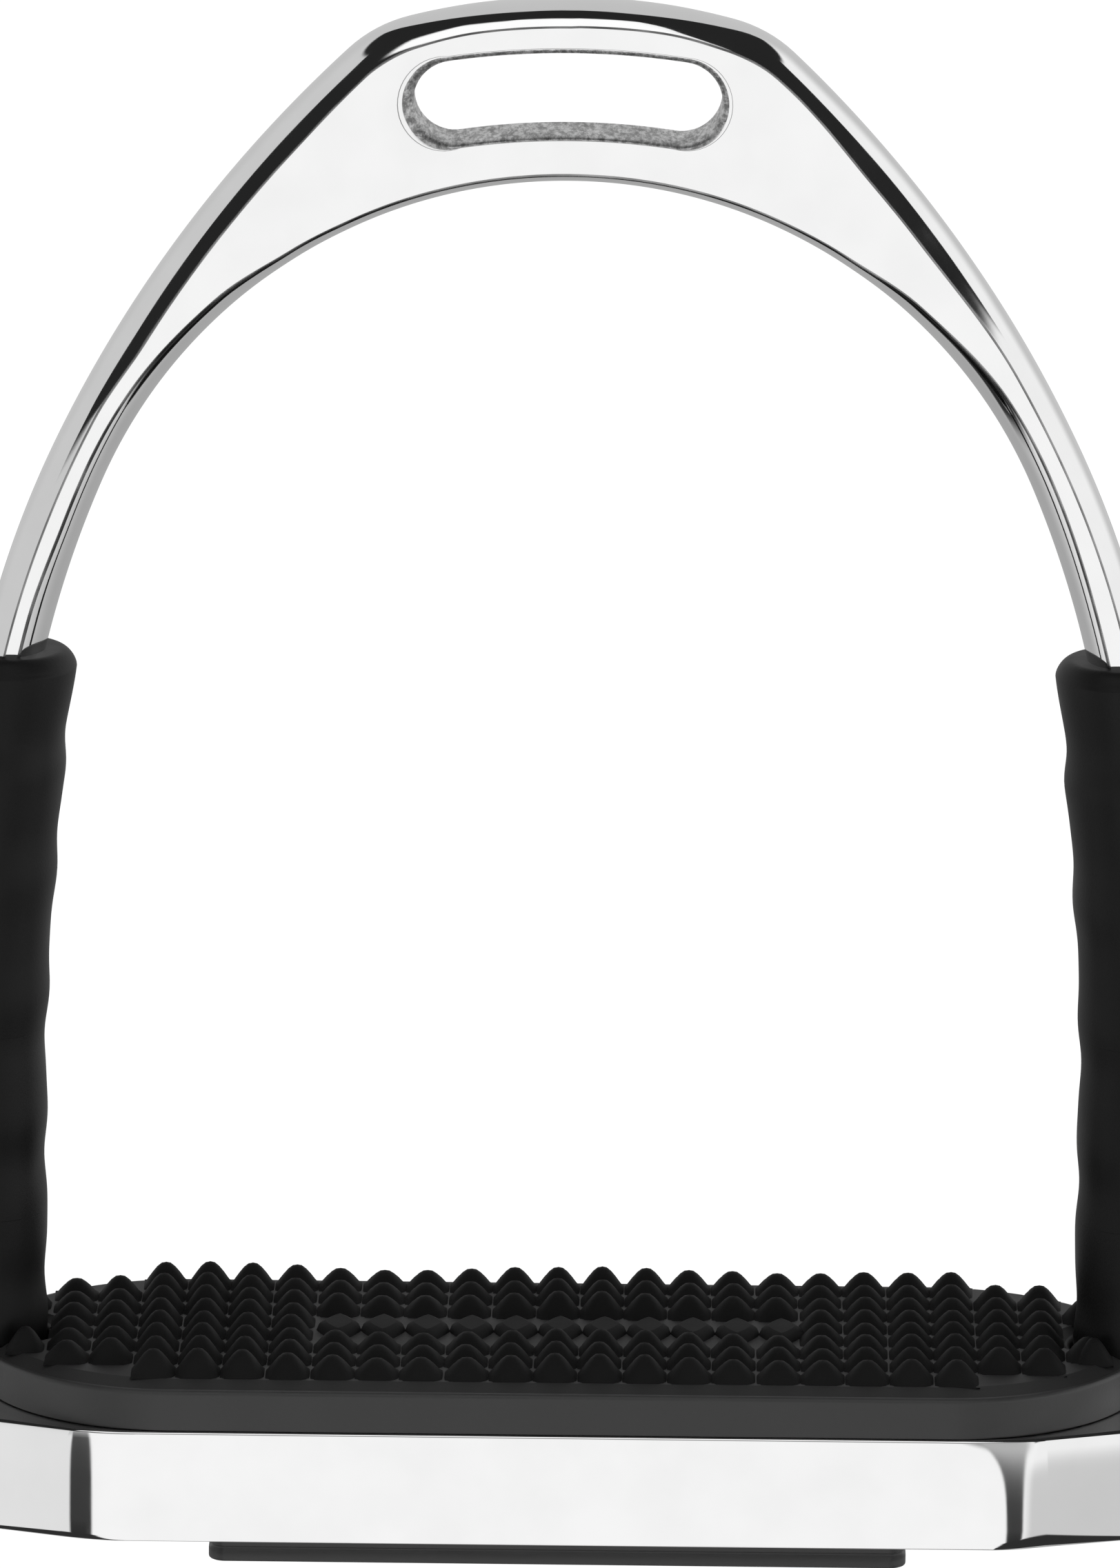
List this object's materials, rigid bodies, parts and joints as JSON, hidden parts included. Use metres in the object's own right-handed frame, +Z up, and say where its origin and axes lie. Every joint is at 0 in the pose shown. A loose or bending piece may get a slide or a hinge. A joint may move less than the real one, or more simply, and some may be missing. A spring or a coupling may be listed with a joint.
{
  "type": "stirrup iron",
  "caption": "Jointed riding stirrup: polished steel bow with a leather slot, rubber-sleeved flexing side arms and a steel tread frame with a studded rubber pad.",
  "frame": {"origin": "middle of the underside of the rubber pad's lower flange, which is the lowest face and the bottom centre of the whole object", "axes": "+X across the foot's width, to the right seen from the front; -Y to the front; +Z up, towards the leather slot"},
  "size_m": [0.15, 0.0466, 0.1824],
  "materials": {
    "polished_steel": "mirror-polished stainless steel",
    "machined_steel": "plain machined steel, lightly greased",
    "pad_rubber": "moulded black rubber, satin",
    "sleeve_rubber": "smooth black rubber, dull"
  },
  "bodies": {
    "base": {"tread_base": "polished_steel", "tread_pad": "pad_rubber", "pitch_pin_left": "machined_steel", "pitch_pin_right": "machined_steel", "sleeve_left": "sleeve_rubber", "sleeve_right": "sleeve_rubber"},
    "knuckle_left": {"knuckle_left": "machined_steel"},
    "knuckle_right": {"knuckle_right": "machined_steel"},
    "link_left": {"link_front_left": "machined_steel", "link_back_left": "machined_steel", "lower_sway_pin_left": "machined_steel", "lower_washer_left": "machined_steel"},
    "link_right": {"link_front_right": "machined_steel", "link_back_right": "machined_steel", "lower_sway_pin_right": "machined_steel", "lower_washer_right": "machined_steel"},
    "bow": {"bow": "polished_steel", "upper_sway_pin_left": "machined_steel", "upper_washer_left": "machined_steel"},
    "pivot_right": {"upper_sway_pin_right": "machined_steel", "upper_washer_right": "machined_steel"}
  },
  "joints": [
    {"name": "pitch_left", "type": "hinge", "parent": "base", "child": "knuckle_left", "pos_m": [-0.0673, 0, 0.031], "axis": [1, 0, 0], "range_deg": [-18, 18], "stiffness_Nm_per_rad": 2.5, "deforming": ["sleeve_left"]},
    {"name": "pitch_right", "type": "hinge", "parent": "base", "child": "knuckle_right", "pos_m": [0.0673, 0, 0.031], "axis": [1, 0, 0], "range_deg": [-18, 18], "deforming": ["sleeve_right"]},
    {"name": "sway_left", "type": "hinge", "parent": "knuckle_left", "child": "link_left", "pos_m": [-0.0673, 0, 0.045], "axis": [0, 1, 0], "range_deg": [-8, 8], "stiffness_Nm_per_rad": 2.5},
    {"name": "sway_right", "type": "hinge", "parent": "knuckle_right", "child": "link_right", "pos_m": [0.0673, 0, 0.045], "axis": [0, 1, 0], "range_deg": [-8, 8]},
    {"name": "bow_pivot_left", "type": "hinge", "parent": "link_left", "child": "bow", "pos_m": [-0.0673, 0, 0.075], "axis": [0, 1, 0], "range_deg": [-8, 8]},
    {"name": "bow_pivot_right", "type": "hinge", "parent": "link_right", "child": "pivot_right", "pos_m": [0.0673, 0, 0.075], "axis": [0, 1, 0], "range_deg": [-8, 8]}
  ],
  "couplings": [
    {"joint": "pitch_right", "follows": "pitch_left", "ratio": 1},
    {"joint": "sway_right", "follows": "sway_left", "ratio": 1},
    {"joint": "bow_pivot_left", "follows": "sway_left", "ratio": -1},
    {"joint": "bow_pivot_right", "follows": "sway_left", "ratio": -1}
  ]
}
